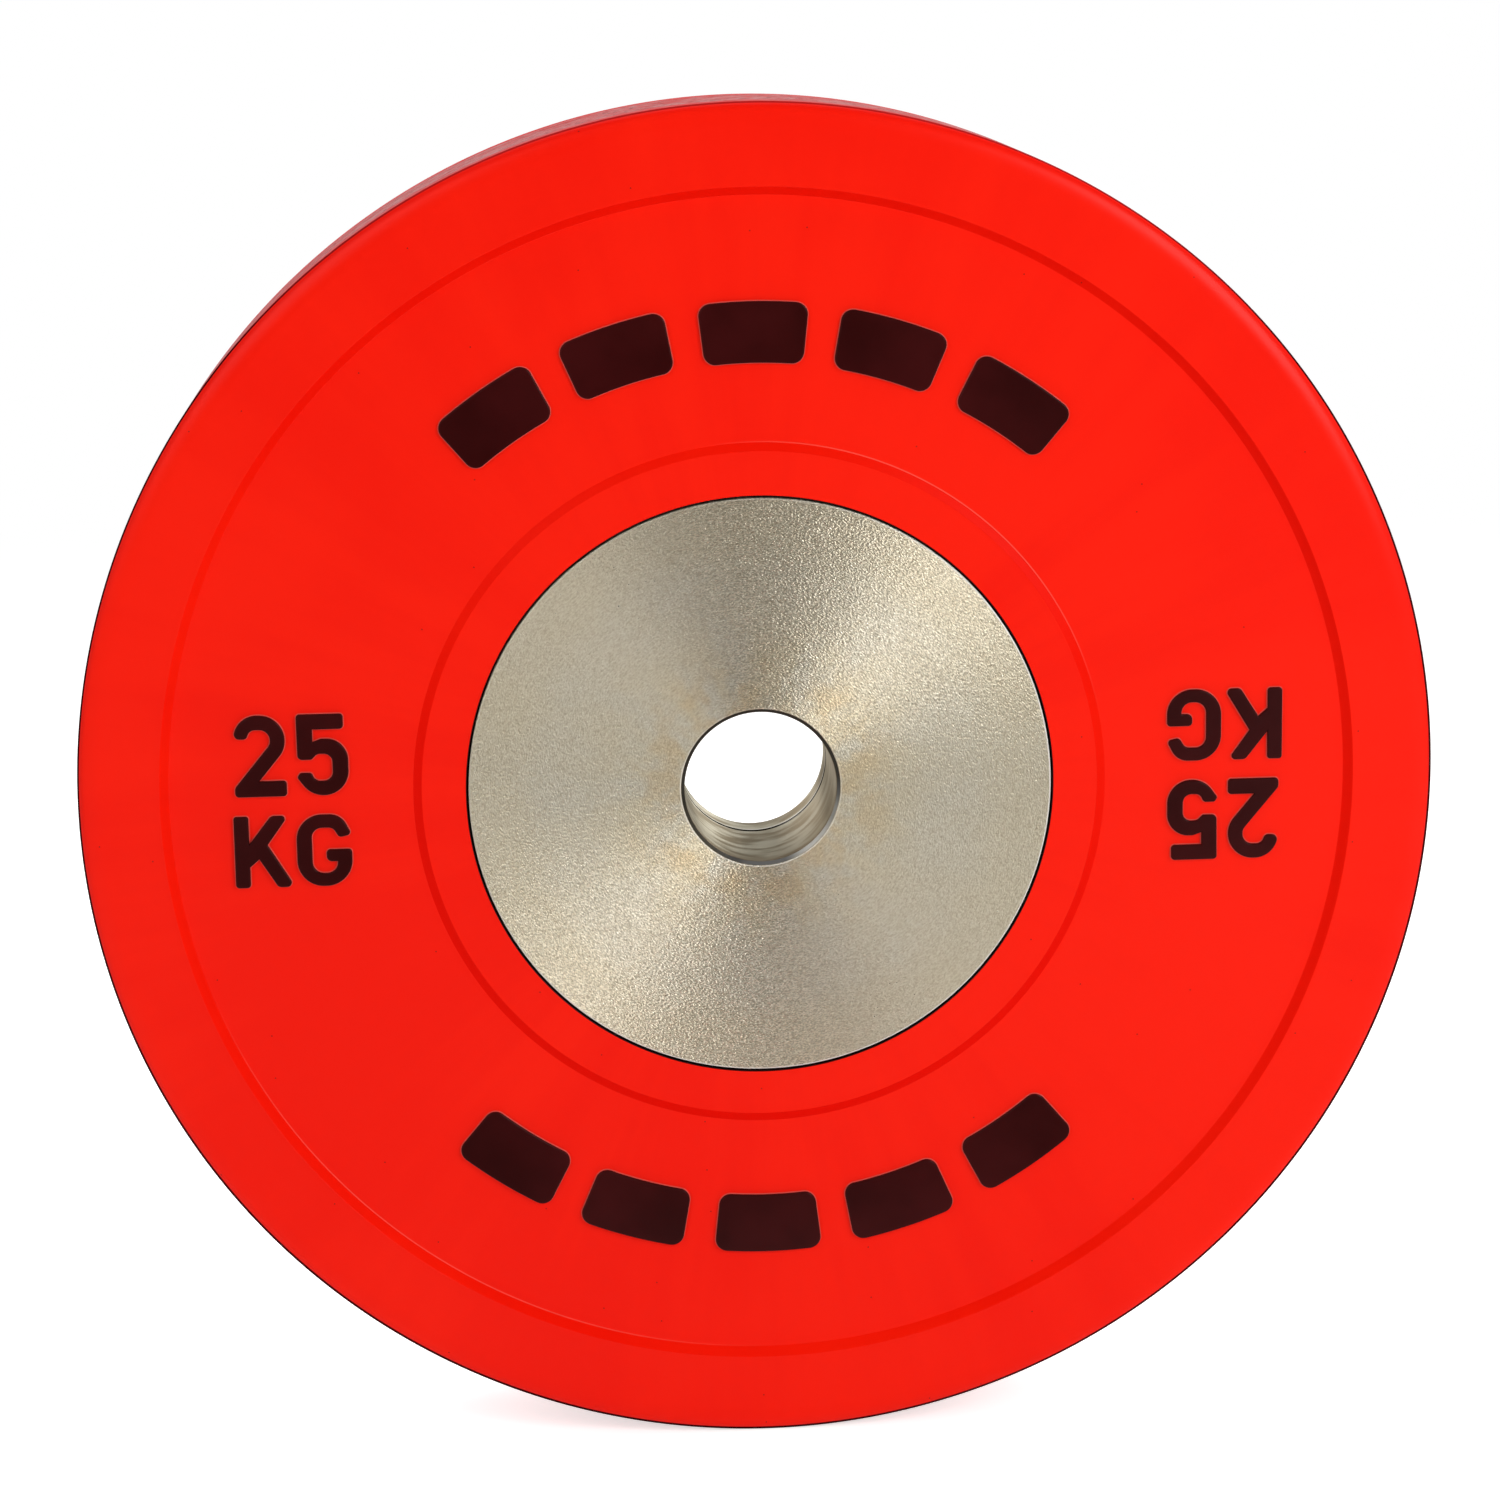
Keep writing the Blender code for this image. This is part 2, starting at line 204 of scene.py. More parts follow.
# In the finishes, lengths are in metres and scales are per metre. A range says where it starts and
# where it ends, and some go on to say the amounts at those two places.
redRubber = {
    "red": (0.97, 0.0113, 0.0016, 1),
    "deepRed": (0.93, 0.0085, 0.0012, 1),
    "roughness": 0.30,
    "cloudRoughness": 0.08,
    "specular": 0.10,
    "cloudScale": 9.0,
    "rays": (9.0, 6.0),  # round the circle and outwards
    "grainScale": 1400.0,
    "bump": (0.00003, 0.35),  # the depth of the grain, and its strength
    "speck": (0.10, 0.01, 0.01, 1),
    "speckShare": 0.8,
    "speckScale": 55.0,
    "speckRadius": 0.00028,
    "speckRarity": 0.86,
    # painted shade, on the slopes and on the rim's rounded edge
    "paintedShadeRed": (0.79, 0.0042, 0.001, 1),
    "slopeMatte": 0.8,
    "slopeSoft": 0.0003,
    "shade": (-0.4, 0.3),
    # painted shade on the rim's rounded edge, just inside its outline
    "shoulder": (0.2223, 0.2242, 0.0, 0.6),
    # the painted highlight at the foot of a slope
    "footHighlightRed": (0.96, 0.12, 0.085, 1),
    "footHalf": (0.0001, 0.0003, 1.0, 0.0),
    # each step's slope: its radii, where its painted shade is deepest (degrees) and how deep, and the
    # painted highlight at its foot
    "slopes": (
        {"low": 0.1120, "high": 0.1151, "shadeAt": 256, "least": 0.45, "most": 0.9,
         "foot": 0.1152, "highlightAt": 55, "highlightFrom": 0.70, "paler": 0.6},
        {"low": 0.1950, "high": 0.1981, "shadeAt": 53, "least": 0.2, "most": 0.55,
         "foot": 0.1949, "highlightAt": 235, "highlightFrom": 0.80, "paler": 0.5},
    ),
    "gapShadowBlack": (0.004, 0.001, 0.001, 1),
    "gap": (0.0975, 0.0978, 1.0, 0.0),  # the mouth that the hub sits in, painted black as painted shadow
    # a dark line painted round the rim's outermost edge as painted shade, lighter on top as painted light
    "edgeLine": (0.045, 0.002, 0.003, 1),
    "edgeLineLitTop": (0.42, 0.012, 0.012, 1),
    "edgeLineStart": (0.2236, 0.2244),  # its radius, low on the plate and on top
    "edgeLineSoft": 0.00015,
    "edgeLineHeight": (0.0289, 0.0292),  # from the middle of the tread
    "onTop": (0.6, 0.95),
}

# the tread: chalky dust whose pale pink also stands in as painted sheen
chalkAndSheenTread = {
    "red": (0.60, 0.09, 0.09, 1),
    "dustAndSheen": (0.56, 0.30, 0.30, 1),
    "fleck": (0.16, 0.07, 0.07, 1),
    "lipRed": (0.72, 0.09, 0.09, 1),  # cleaner beside the edges
    "lip": (0.017, 0.023, 0.0, 0.7),
    "roughness": 0.62,
    "streaks": (9.0, 700.0),  # round the circle and across the tread
    "scuffScale": 230.0,
    "patchScale": 14.0,
    "fleckScale": 420.0,
    "flecks": (0.56, 0.64, 0.0, 0.6),
}


def stepSlopes(bench, spot, colour, matte):
    # painted shade on the slopes, deepest on one side, with a painted highlight along a part of each foot
    look = redRubber
    for step in look["slopes"]:
        slope = bench.band(spot.radius, step["low"], step["high"], look["slopeSoft"])
        # painted shade, deepest on the side given
        shade = bench.ease(spot.towards(step["shadeAt"]), *look["shade"], step["least"], step["most"])
        colour = bench.blend(slope * shade, colour, look["paintedShadeRed"])
        # a painted highlight along the foot, on the side facing the light
        paler = bench.ease(abs(spot.radius - step["foot"]), *look["footHalf"])
        paler *= bench.ease(spot.towards(step["highlightAt"]), step["highlightFrom"], 1.0, 0.0, step["paler"])
        colour = bench.blend(paler, colour, look["footHighlightRed"])
        matte = matte.larger(slope * look["slopeMatte"])
    return colour, matte


def specks(bench, spot):
    # a dark dot in a few cells of a pattern
    look = redRubber
    inputs = {"Vector": spot.at, "Scale": look["speckScale"]}
    distance = bench.add("ShaderNodeTexVoronoi", {"voronoi_dimensions": "2D"}, inputs)
    cell = Value(bench, distance.socket.node.outputs["Color"])
    chosen = bench.add("ShaderNodeSeparateColor", {}, {"Color": cell}).above(look["speckRarity"])
    reach = look["speckRadius"] * look["speckScale"]
    return bench.ease(distance, reach / 2, reach, look["speckShare"], 0.0) * chosen


def treadChalkAndSheen(bench, spot):
    # duller rubber under chalky dust, whose pale pink is also painted sheen, and the height of its scuffs
    look = chalkAndSheenTread
    streak = bench.drawn(spot.across, spot.up, spot.z, *look["streaks"], 4.0, 0.6)
    scuff = bench.noise(spot.at, look["scuffScale"], 4.0, 0.6)
    patch = bench.noise(spot.at, look["patchScale"], 3.0)
    dustAndSheen = bench.contrast(scuff * 0.4 + streak * 0.4 + patch * 0.2, 0.12)
    colour = bench.blend(dustAndSheen, look["red"], look["dustAndSheen"])
    flecks = bench.noise(spot.at, look["fleckScale"], 3.0, 0.6)
    colour = bench.blend(bench.ease(flecks, *look["flecks"]), colour, look["fleck"])
    colour = bench.blend(bench.ease(abs(spot.z), *look["lip"]), colour, look["lipRed"])
    return colour, streak * 2.0 + scuff * 3.0


def redRubberMaterial():
    look = redRubber
    made, bench = newMaterial("red_rubber")
    spot = Spot(bench)
    cloud = bench.noise(spot.at, look["cloudScale"], 3.0)
    rays = bench.drawn(spot.across, spot.up, spot.radius, *look["rays"], 3.0, 0.6)
    colour = bench.blend(bench.contrast(cloud * 0.6 + rays * 0.4, 0.10), look["deepRed"], look["red"])
    # painted shade on the rim's rounded edge
    colour = bench.blend(bench.ease(spot.radius, *look["shoulder"]), colour, look["paintedShadeRed"])
    start = bench.ease(spot.up - spot.across * 0.25, -1.0, 1.0, *look["edgeLineStart"])
    outermost = bench.ease(spot.radius - start, 0.0, look["edgeLineSoft"])
    colour, matte = stepSlopes(bench, spot, colour, outermost)
    colour = bench.blend(specks(bench, spot) * (1.0 - outermost), colour, look["speck"])
    line = outermost * bench.ease(abs(spot.z), *look["edgeLineHeight"])
    tread = outermost - line
    chalkAndSheen, scuffs = treadChalkAndSheen(bench, spot)
    colour = bench.blend(tread, colour, chalkAndSheen)
    # the outline is painted shade, lighter on top as painted light
    lineColour = bench.blend(bench.ease(spot.up, *look["onTop"]), look["edgeLine"], look["edgeLineLitTop"])
    colour = bench.blend(line, colour, lineColour)
    # painted shadow, black in the mouth round the hub
    colour = bench.blend(bench.ease(spot.radius, *look["gap"]), colour, look["gapShadowBlack"])
    roughness = look["roughness"] + (cloud - 0.5) * look["cloudRoughness"]
    roughness += outermost * (chalkAndSheenTread["roughness"] - look["roughness"])
    height = bench.noise(spot.at, look["grainScale"], 2.0) + tread * scuffs
    inputs = {"Base Color": colour, "Roughness": roughness, "Normal": bench.bump(height, *look["bump"])}
    satin = bench.shader({**inputs, "Specular IOR Level": look["specular"]})
    chalky = bench.shader({**inputs, "Specular IOR Level": 0.0})
    bench.surface(bench.add("ShaderNodeMixShader", {}, {0: matte, 1: satin, 2: chalky}))
    return made


blackRubber = {
    "black": (0.026, 0.0012, 0.0012, 1),
    "paler": (0.044, 0.0028, 0.0030, 1),
    "cloudScale": 25.0,
    "foot": (0.70, 0.085, 0.065, 1),
    "footHeight": (0.00026, 0.00034, 1.0, 0.0),
    "roughness": 0.22,
    "cloudRoughness": 0.08,
    "specular": 0.10,
    "grainScale": 1600.0,
    "bump": (0.00003, 0.3),
}


def blackRubberMaterial():
    look = blackRubber
    made, bench = newMaterial("black_rubber")
    at = bench.coordinates()
    height = bench.split(at)[2]
    cloud = bench.noise(at, look["cloudScale"], 3.0)
    colour = bench.blend(bench.contrast(cloud, 0.2), look["black"], look["paler"])
    colour = bench.blend(bench.ease(height, *look["footHeight"]), colour, look["foot"])
    grain = bench.noise(at, look["grainScale"], 2.0)
    bench.surface(bench.shader({
        "Base Color": colour, "Roughness": look["roughness"] + (cloud - 0.5) * look["cloudRoughness"],
        "Specular IOR Level": look["specular"], "Normal": bench.bump(grain, *look["bump"]),
    }))
    return made


turnedSteel = {
    "steel": (0.77, 0.72, 0.605, 1),
    "warm": (0.78, 0.70, 0.53, 1),
    "cool": (0.745, 0.705, 0.60, 1),
    "gold": (0.74, 0.58, 0.35, 1),
    "tint": (0.62, 0.60, 0.54, 1),  # of its reflections at a grazing angle
    "roughness": 0.485,
    "anisotropic": 0.935,
    "turn": 0.25,
    # each pattern has a scale round the circle and one outwards; the first two lie on the unit circle
    "mottle": (4.5, 45.0),
    "stains": (3.5, 90.0),
    "weave": (520.0, 1750.0),  # long cutting marks
    "marks": (1150.0, 1700.0),  # small marks that sparkle between them
    "glitter": (1350.0, 2900.0),  # a finer grain, painted stronger where the face's highlights fall, as painted glints
    "fineScale": 1700.0,
    "ringScale": 700.0,
    "ringShare": 0.06,
    "bump": (0.00025, 1.0),
    "markRoughness": -0.8,
    "stainRange": (0.44, 0.66, 0.0, 0.5),
    "weaveRange": (0.38, 0.60),
    "hollow": (0.87, 0.84, 0.79, 1),  # what the finish is multiplied by, in the marks and on their backs
    "crest": (1.06, 1.07, 1.07, 1),
    "glitterDark": (0.78, 0.77, 0.745, 1),
    "glitterLight": (1.22, 1.225, 1.24, 1),
    "highlightSectorsAt": 62,  # degrees, and again on the far side
    "highlightSectors": (0.55, 0.88),
    "tintRing": (0.030, 0.065, 0.9, 0.2),
    "warmRing": (0.070, 0.086, 0.0, 0.4),
    "stainRing": (0.032, 0.054, 1.0, 0.0),
    "face": (0.02640, 0.02655),
    # the colour of the painted highlights on edges
    "edge": (0.88, 0.86, 0.80, 1),
    "highlightMetallic": 0.2,
    "lip": (0.02655, 0.02700, 0.0001),  # the painted highlight round the bore: its radii and soft edge
    "lipSide": (-0.4, 0.8, 0.7, 0.2),
    # the painted highlight round the disc's outer edge
    "rim": (0.09615, 0.0963),
    "rimSide": (-0.4, 1.2, 1.0, 0.2),
}

hubBore = {
    "darkStreak": (0.22, 0.185, 0.13, 1),  # darker streaks on the wall
    "wall": (0.50, 0.475, 0.39, 1),
    "brown": (0.24, 0.185, 0.125, 1),
    "roughness": 0.36,
    "streaks": (1.3, 220.0),
    "patches": (2.0, 90.0),
    "patchLean": 40.0,
    "brownMouth": (0.022, 0.029, 0.0, 0.6),
    "brownSide": (-0.1, 0.8, 0.0, 0.55),
    "wallRadius": (0.0253, 0.0255, 1.0, 0.0),
    # the bore's chamfer, painted dark as painted shade
    "chamfer": (0.055, 0.050, 0.042, 1),
    "chamferLitLow": (0.26, 0.26, 0.26, 1),  # painted light, brighter low down
    "lowSide": (-0.95, -0.45, 1.0, 0.0),
    "glint": (0.90, 0.99, 0.0, 0.45),
    "seam": (0.012, 0.010, 0.008, 1),
    "seamHeight": -0.0168,  # the joint between the two discs, from the middle of the plate
    "seamHalf": (0.00105, 0.00120, 1.0, 0.0),
    "highlightStart": (-0.0025, -0.0022),  # the painted highlight beside the joint
    "highlightEnd": (-0.00135, -0.00120, 0.6, 0.0),
}


def steelFace(bench, spot, marks):
    look = turnedSteel
    mottle = bench.drawn(spot.across, spot.up, spot.radius, *look["mottle"], 2.0)
    tint = bench.blend(bench.contrast(mottle, 0.15), look["cool"], look["warm"])
    colour = bench.blend(bench.ease(spot.radius, *look["tintRing"]), look["steel"], tint)
    colour = bench.blend(bench.ease(spot.radius, *look["warmRing"]), colour, look["warm"])
    stain = bench.drawn(spot.across, spot.up, spot.radius, *look["stains"], 2.0)
    stain = bench.ease(stain, *look["stainRange"]) * bench.ease(spot.radius, *look["stainRing"])
    colour = bench.blend(stain, colour, look["gold"])
    weave = bench.drawn(spot.x, spot.y, spot.radius, *look["weave"], 2.0)
    fine = bench.noise(spot.at, look["fineScale"], 1.5)
    small = bench.contrast(marks * 0.5 + fine * 0.5, 0.14)
    shade = bench.ease(weave, *look["weaveRange"]) * 0.5 + small * 0.5
    shade = bench.blend(shade, look["hollow"], look["crest"])
    colour = bench.blend(1.0, colour, shade, "MULTIPLY")
    # the finer grain is painted stronger in two sectors where the highlights fall, as painted glints
    glitter = bench.drawn(spot.x, spot.y, spot.radius, *look["glitter"], 0.0)
    glitter = bench.blend(bench.contrast(glitter, 0.14), look["glitterDark"], look["glitterLight"])
    highlightSectors = bench.ease(abs(spot.towards(look["highlightSectorsAt"])), *look["highlightSectors"])
    return bench.blend(highlightSectors, colour, glitter, "MULTIPLY")


def boreWall(bench, spot):
    # darker streaks round the wall, browner at its mouth and on one side
    look = hubBore
    streaks = bench.drawn(spot.across, spot.up, spot.z, *look["streaks"], 2.0)
    around, along = look["patches"]
    lean = spot.across * around + spot.z * look["patchLean"]
    patches = bench.noise(bench.vector(lean, spot.up * around, spot.z * along), 1.0, 2.0)
    wall = bench.blend(bench.contrast(streaks * 0.6 + patches * 0.4, 0.10), look["darkStreak"], look["wall"])
    wall = bench.blend(bench.ease(spot.z, *look["brownMouth"]), wall, look["brown"])
    return bench.blend(bench.ease(spot.across, *look["brownSide"]), wall, look["brown"])


def turnedSteelMaterial():
    look, hole = turnedSteel, hubBore
    made, bench = newMaterial("turned_steel")
    spot = Spot(bench)
    marks = bench.drawn(spot.x, spot.y, spot.radius, *look["marks"], 1.5)
    onFace = bench.ease(spot.radius, *look["face"])
    inside = 1.0 - onFace
    onWall = bench.ease(spot.radius, *hole["wallRadius"])
    # painted shade on the bore's chamfer, with painted light low down
    lowSide = bench.ease(spot.up - spot.across * 0.6, *hole["lowSide"])
    chamfer = bench.blend(lowSide, hole["chamfer"], hole["chamferLitLow"])
    colour = bench.blend(onFace, chamfer, steelFace(bench, spot, marks))
    colour = bench.blend(onWall, colour, boreWall(bench, spot))
    # the joint in the bore is dark, and beside it a painted highlight
    beyond = spot.z - hole["seamHeight"]
    seam = bench.ease(abs(beyond), *hole["seamHalf"])
    colour = bench.blend(seam * inside, colour, hole["seam"])
    paler = bench.ease(beyond, *hole["highlightStart"]) * bench.ease(beyond, *hole["highlightEnd"]) * inside
    # painted highlights on edges, each on the side where light falls
    lip = bench.band(spot.radius, *look["lip"])
    lip *= bench.ease(spot.up + spot.across * 0.4, *look["lipSide"])
    rim = bench.ease(spot.radius, *look["rim"]) * bench.ease(spot.up - spot.across, *look["rimSide"])
    glint = bench.ease(spot.across * 0.67 - spot.up * 0.74, *hole["glint"]) * inside * (1.0 - onWall)
    paintedHighlight = lip.larger(rim).larger(glint).larger(paler)
    colour = bench.blend(paintedHighlight, colour, look["edge"])
    roughness = look["roughness"] + (marks - 0.5) * onFace * look["markRoughness"]
    roughness += inside * (hole["roughness"] - look["roughness"])
    rings = bench.noise(bench.vector(spot.radius * look["ringScale"], 0.0, 0.0), 1.0, 3.0)
    height = (marks + rings * look["ringShare"]) * onFace
    bench.surface(bench.shader({
        "Base Color": colour, "Metallic": 1.0 - paintedHighlight * (1.0 - look["highlightMetallic"]),
        "Roughness": roughness, "Specular Tint": look["tint"],
        "Anisotropic": look["anisotropic"], "Anisotropic Rotation": look["turn"],
        "Normal": bench.bump(height, *look["bump"]),
    }))
    return made


# two plain metals: each pattern has its scale and its detail
darkSteel = {
    "dark": (0.10, 0.10, 0.11, 1),
    "pale": (0.22, 0.20, 0.19, 1),
    "cloud": (90.0, 5.0),
    "grain": (90.0, 5.0),
    "roughness": 0.45,
    "grainRoughness": 0.3,
    "bump": (0.0001, 0.4),
}

zincPlate = {
    "dark": (0.46, 0.47, 0.50, 1),
    "pale": (0.62, 0.60, 0.55, 1),
    "cloud": (240.0, 3.0),
    "grain": (2600.0, 2.0),
    "roughness": 0.30,
    "grainRoughness": 0.2,
    "bump": (0.00003, 0.4),
}


def plainMetal(name, look):
    made, bench = newMaterial(name)
    at = bench.coordinates()
    cloud = bench.noise(at, *look["cloud"])
    grain = bench.noise(at, *look["grain"])
    bench.surface(bench.shader({
        "Base Color": bench.blend(bench.contrast(cloud, 0.2), look["dark"], look["pale"]),
        "Metallic": 1.0, "Roughness": look["roughness"] + (grain - 0.5) * look["grainRoughness"],
        "Normal": bench.bump(grain, *look["bump"]),
    }))
    return made


def cornerArc(before, corner, after, radius, tolerance):
    if radius == 0:
        return [tuple(corner)]
    toBefore = (before - corner).normalized()
    toAfter = (after - corner).normalized()
    inside = toBefore.angle(toAfter)
    middle = corner + (toBefore + toAfter).normalized() * radius / math.sin(inside / 2)
    reach = radius / math.tan(inside / 2)
    first = corner + toBefore * reach - middle
    turn = (math.pi - inside) * (1 if toAfter.cross(toBefore) > 0 else -1)
    count = max(2, math.ceil(abs(turn) / (2 * math.acos(1 - tolerance / radius))))
    start = math.atan2(first.y, first.x)
    angles = [start + turn * i / count for i in range(count + 1)]
    return [(middle.x + radius * math.cos(a), middle.y + radius * math.sin(a)) for a in angles]


def rounded(corners, tolerance=0.004):
    # a closed outline from (x, y, corner radius), given in millimetres
    spots = [Vector(corner[:2]) for corner in corners]
    points = []
    for i, corner in enumerate(corners):
        after = spots[(i + 1) % len(spots)]
        points += cornerArc(spots[i - 1], spots[i], after, corner[2], tolerance)
    return [(x * mm, y * mm) for x, y in points]


def quarterTurn(steps):
    return [math.pi / 2 * i / steps for i in range(steps + 1)]


def onCircle(count, radius):
    turns = [2 * math.pi * i / count for i in range(count)]
    return [(radius * math.sin(a), radius * math.cos(a)) for a in turns]


def meshFrom(shape, name):
    mesh = bpy.data.meshes.new(name)
    shape.to_mesh(mesh)
    shape.free()
    return mesh


def turned(name, outline, steps):
    # spins a closed (radius, height) outline round the axis
    shape = bmesh.new()
    points = [shape.verts.new((r, 0.0, h)) for r, h in outline]
    edges = [shape.edges.new((points[i - 1], points[i])) for i in range(len(points))]
    bmesh.ops.spin(shape, geom=points + edges, cent=(0, 0, 0), axis=(0, 0, 1), angle=2 * math.pi,
                   steps=steps, use_merge=True)
    bmesh.ops.remove_doubles(shape, verts=shape.verts, dist=1e-7)
    bmesh.ops.recalc_face_normals(shape, faces=shape.faces)
    return meshFrom(shape, name)


def cones(name, spots, low, high, lowRadius, highRadius, sides):
    # upright rods or cones that a turned piece is cut or joined with
    shape = bmesh.new()
    for x, y in spots:
        place = Matrix.Translation((x, y, (low + high) / 2))
        bmesh.ops.create_cone(shape, cap_ends=True, segments=sides, radius1=lowRadius,
                              radius2=highRadius, depth=high - low, matrix=place)
    return meshFrom(shape, name)


def rods(name, spots, low, high, radius, sides):
    return cones(name, spots, low, high, radius, radius, sides)


def combined(mesh, tool, operation):
    # the mesh after one Boolean with another mesh
    objects = bpy.context.scene.collection.objects
    work = bpy.data.objects.new("work", mesh)
    cutter = bpy.data.objects.new("cutter", tool)
    objects.link(work)
    objects.link(cutter)
    change = work.modifiers.new("cut", "BOOLEAN")
    change.object = cutter
    change.operation = operation
    change.solver = "MANIFOLD"
    bpy.context.view_layer.update()
    result = bpy.data.meshes.new_from_object(work.evaluated_get(bpy.context.evaluated_depsgraph_get()))
    bpy.data.objects.remove(work)
    bpy.data.objects.remove(cutter)
    return result


def smooth(mesh, angle=28):
    mesh.shade_smooth()
    mesh.set_sharp_from_angle(angle=math.radians(angle))


facing = Matrix.Rotation(math.pi / 2, 4, "X")  # turns a shape made along +Z to look to the front


def addPiece(mesh, name, material, node, place=facing):
    made = bpy.data.objects.new(name, mesh)
    bpy.context.scene.collection.objects.link(made)
    made.data.materials.clear()
    made.data.materials.append(material)
    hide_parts(node)
    made.matrix_world = place
    change = made.modifiers.new("even_normals", "WEIGHTED_NORMAL")  # flats stay flat beside small rounds
    change.keep_sharp = True
    change.weight = 100
    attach(made, "root")


rubberShape = {
    # millimetres, with heights from the middle of the plate
    "steps": 360,
    "webFace": 29.6,
    "webInner": 114.95,
    "webOuter": 195.15,
    "collarFace": 30.6,
    "collarRadius": 112.2,
    "mouthRadius": 97.35,
    "mouthRound": 0.3,
    "rimInner": 197.95,
    "edgeWidth": 7.5,  # the rim's outer edge is a quarter of an ellipse
    "edgeDepth": 3.4,
    "edgeSteps": 24,
    "stepRound": 0.5,
    "creaseDepth": 0.35,  # the moulding line at each edge of the tread
    "creaseWidth": 0.8,
    "creaseRound": 0.15,
    "creaseEndRound": 0.2,
    "seatRadius": 85.6,
    "seatHeight": 24.45,
    "slotRadius": 150.6,
    "slotHeight": 6.3,
    "pegCount": 8,
    "pegCircle": 118.0,
    "pegRadius": 10.7,
    "pegSides": 48,
    "pegOverlap": 0.3,
}


def mirrored(half):
    return half + [(r, -h, bend) for r, h, bend in reversed(half)]


def ellipseEdge(radius, height, size):
    width, depth = size["edgeWidth"], size["edgeDepth"]
    return [(radius - width * (1 - math.sin(a)), height - depth * (1 - math.cos(a)), 0)
            for a in quarterTurn(size["edgeSteps"])]


def rubberBody(material):
    size = rubberShape
    outer, face = plateRadius / mm, rimFace / mm
    tread = face - size["edgeDepth"]
    half = [
        (size["slotRadius"], size["slotHeight"], 0),
        (size["seatRadius"], size["slotHeight"], 0),
        (size["seatRadius"], size["seatHeight"], 0),
        (size["mouthRadius"], size["seatHeight"], 0),
        (size["mouthRadius"], size["collarFace"], size["mouthRound"]),
        (size["collarRadius"], size["collarFace"], size["stepRound"]),
        (size["webInner"], size["webFace"], size["stepRound"]),
        (size["webOuter"], size["webFace"], size["stepRound"]),
        (size["rimInner"], face, size["stepRound"]),
    ]
    half += ellipseEdge(outer, face, size)
    half += [
        (outer - size["creaseDepth"], tread - size["creaseWidth"] / 2, size["creaseRound"]),
        (outer, tread - size["creaseWidth"], size["creaseEndRound"]),
    ]
    mesh = turned("moulded_rubber_body", rounded(mirrored(half)), size["steps"])
    reach = (size["slotHeight"] + size["pegOverlap"]) * mm
    spots = onCircle(size["pegCount"], size["pegCircle"] * mm)
    pegs = rods("pegs", spots, -reach, reach, size["pegRadius"] * mm, size["pegSides"])
    mesh = combined(mesh, pegs, "UNION")
    smooth(mesh)
    addPiece(mesh, "moulded_rubber_body", material, "rubber_body")


hubShape = {
    # millimetres
    "steps": 288,
    "radius": 96.7,
    "edge": 0.4,
    "edgeRound": 0.05,
    "lip": 6.0,
    "lipRound": 0.2,
    "seatRadius": 85.0,
    "seatHeight": 6.15,
    "boreRadius": 25.25,
    "boreChamfer": 1.5,
    "mouthRound": 0.08,
    "chamferRound": 0.15,
    "spigotRadius": 49.7,
    "spigotDepth": 47.4,
    "spigotEdge": 0.9,
    "spigotRound": 0.4,
    "spigotGap": 0.3,
    "threadRadius": 6.3,
    "threadEnd": 19.6,
    "holeRadius": 6.6,
    "holeSides": 48,
    "sinkRadius": 9.8,
    "sinkDepth": 13.3,
    "sinkEdge": 0.3,
    "sinkSides": 72,
    "screwCount": 6,
}


def frontDisc(material):
    size = hubShape
    face = hubFace / mm
    end = face - size["spigotDepth"]
    bore, edge, mouth = size["boreRadius"], size["edge"], size["spigotEdge"]
    outline = [
        (bore + size["boreChamfer"], face, size["mouthRound"]),
        (size["radius"] - edge, face, size["edgeRound"]),
        (size["radius"], face - edge, size["edgeRound"]),
        (size["radius"], face - size["lip"], size["lipRound"]),
        (size["seatRadius"], face - size["lip"], 0),
        (size["seatRadius"], size["seatHeight"], 0),
        (size["spigotRadius"], size["seatHeight"], 0),
        (size["spigotRadius"], end, size["spigotRound"]),
        (bore + mouth, end, size["edgeRound"]),
        (bore, end + mouth, size["edgeRound"]),
        (bore, face - size["boreChamfer"], size["chamferRound"]),
    ]
    mesh = turned("turned_front_hub_disc", rounded(outline), size["steps"])
    spots = onCircle(size["screwCount"], screwCircle)
    threads = rods("threads", spots, 0.0, size["threadEnd"] * mm, size["threadRadius"] * mm,
                   size["holeSides"])
    mesh = combined(mesh, threads, "DIFFERENCE")
    smooth(mesh)
    addPiece(mesh, "turned_front_hub_disc", material, "front_hub_disc")


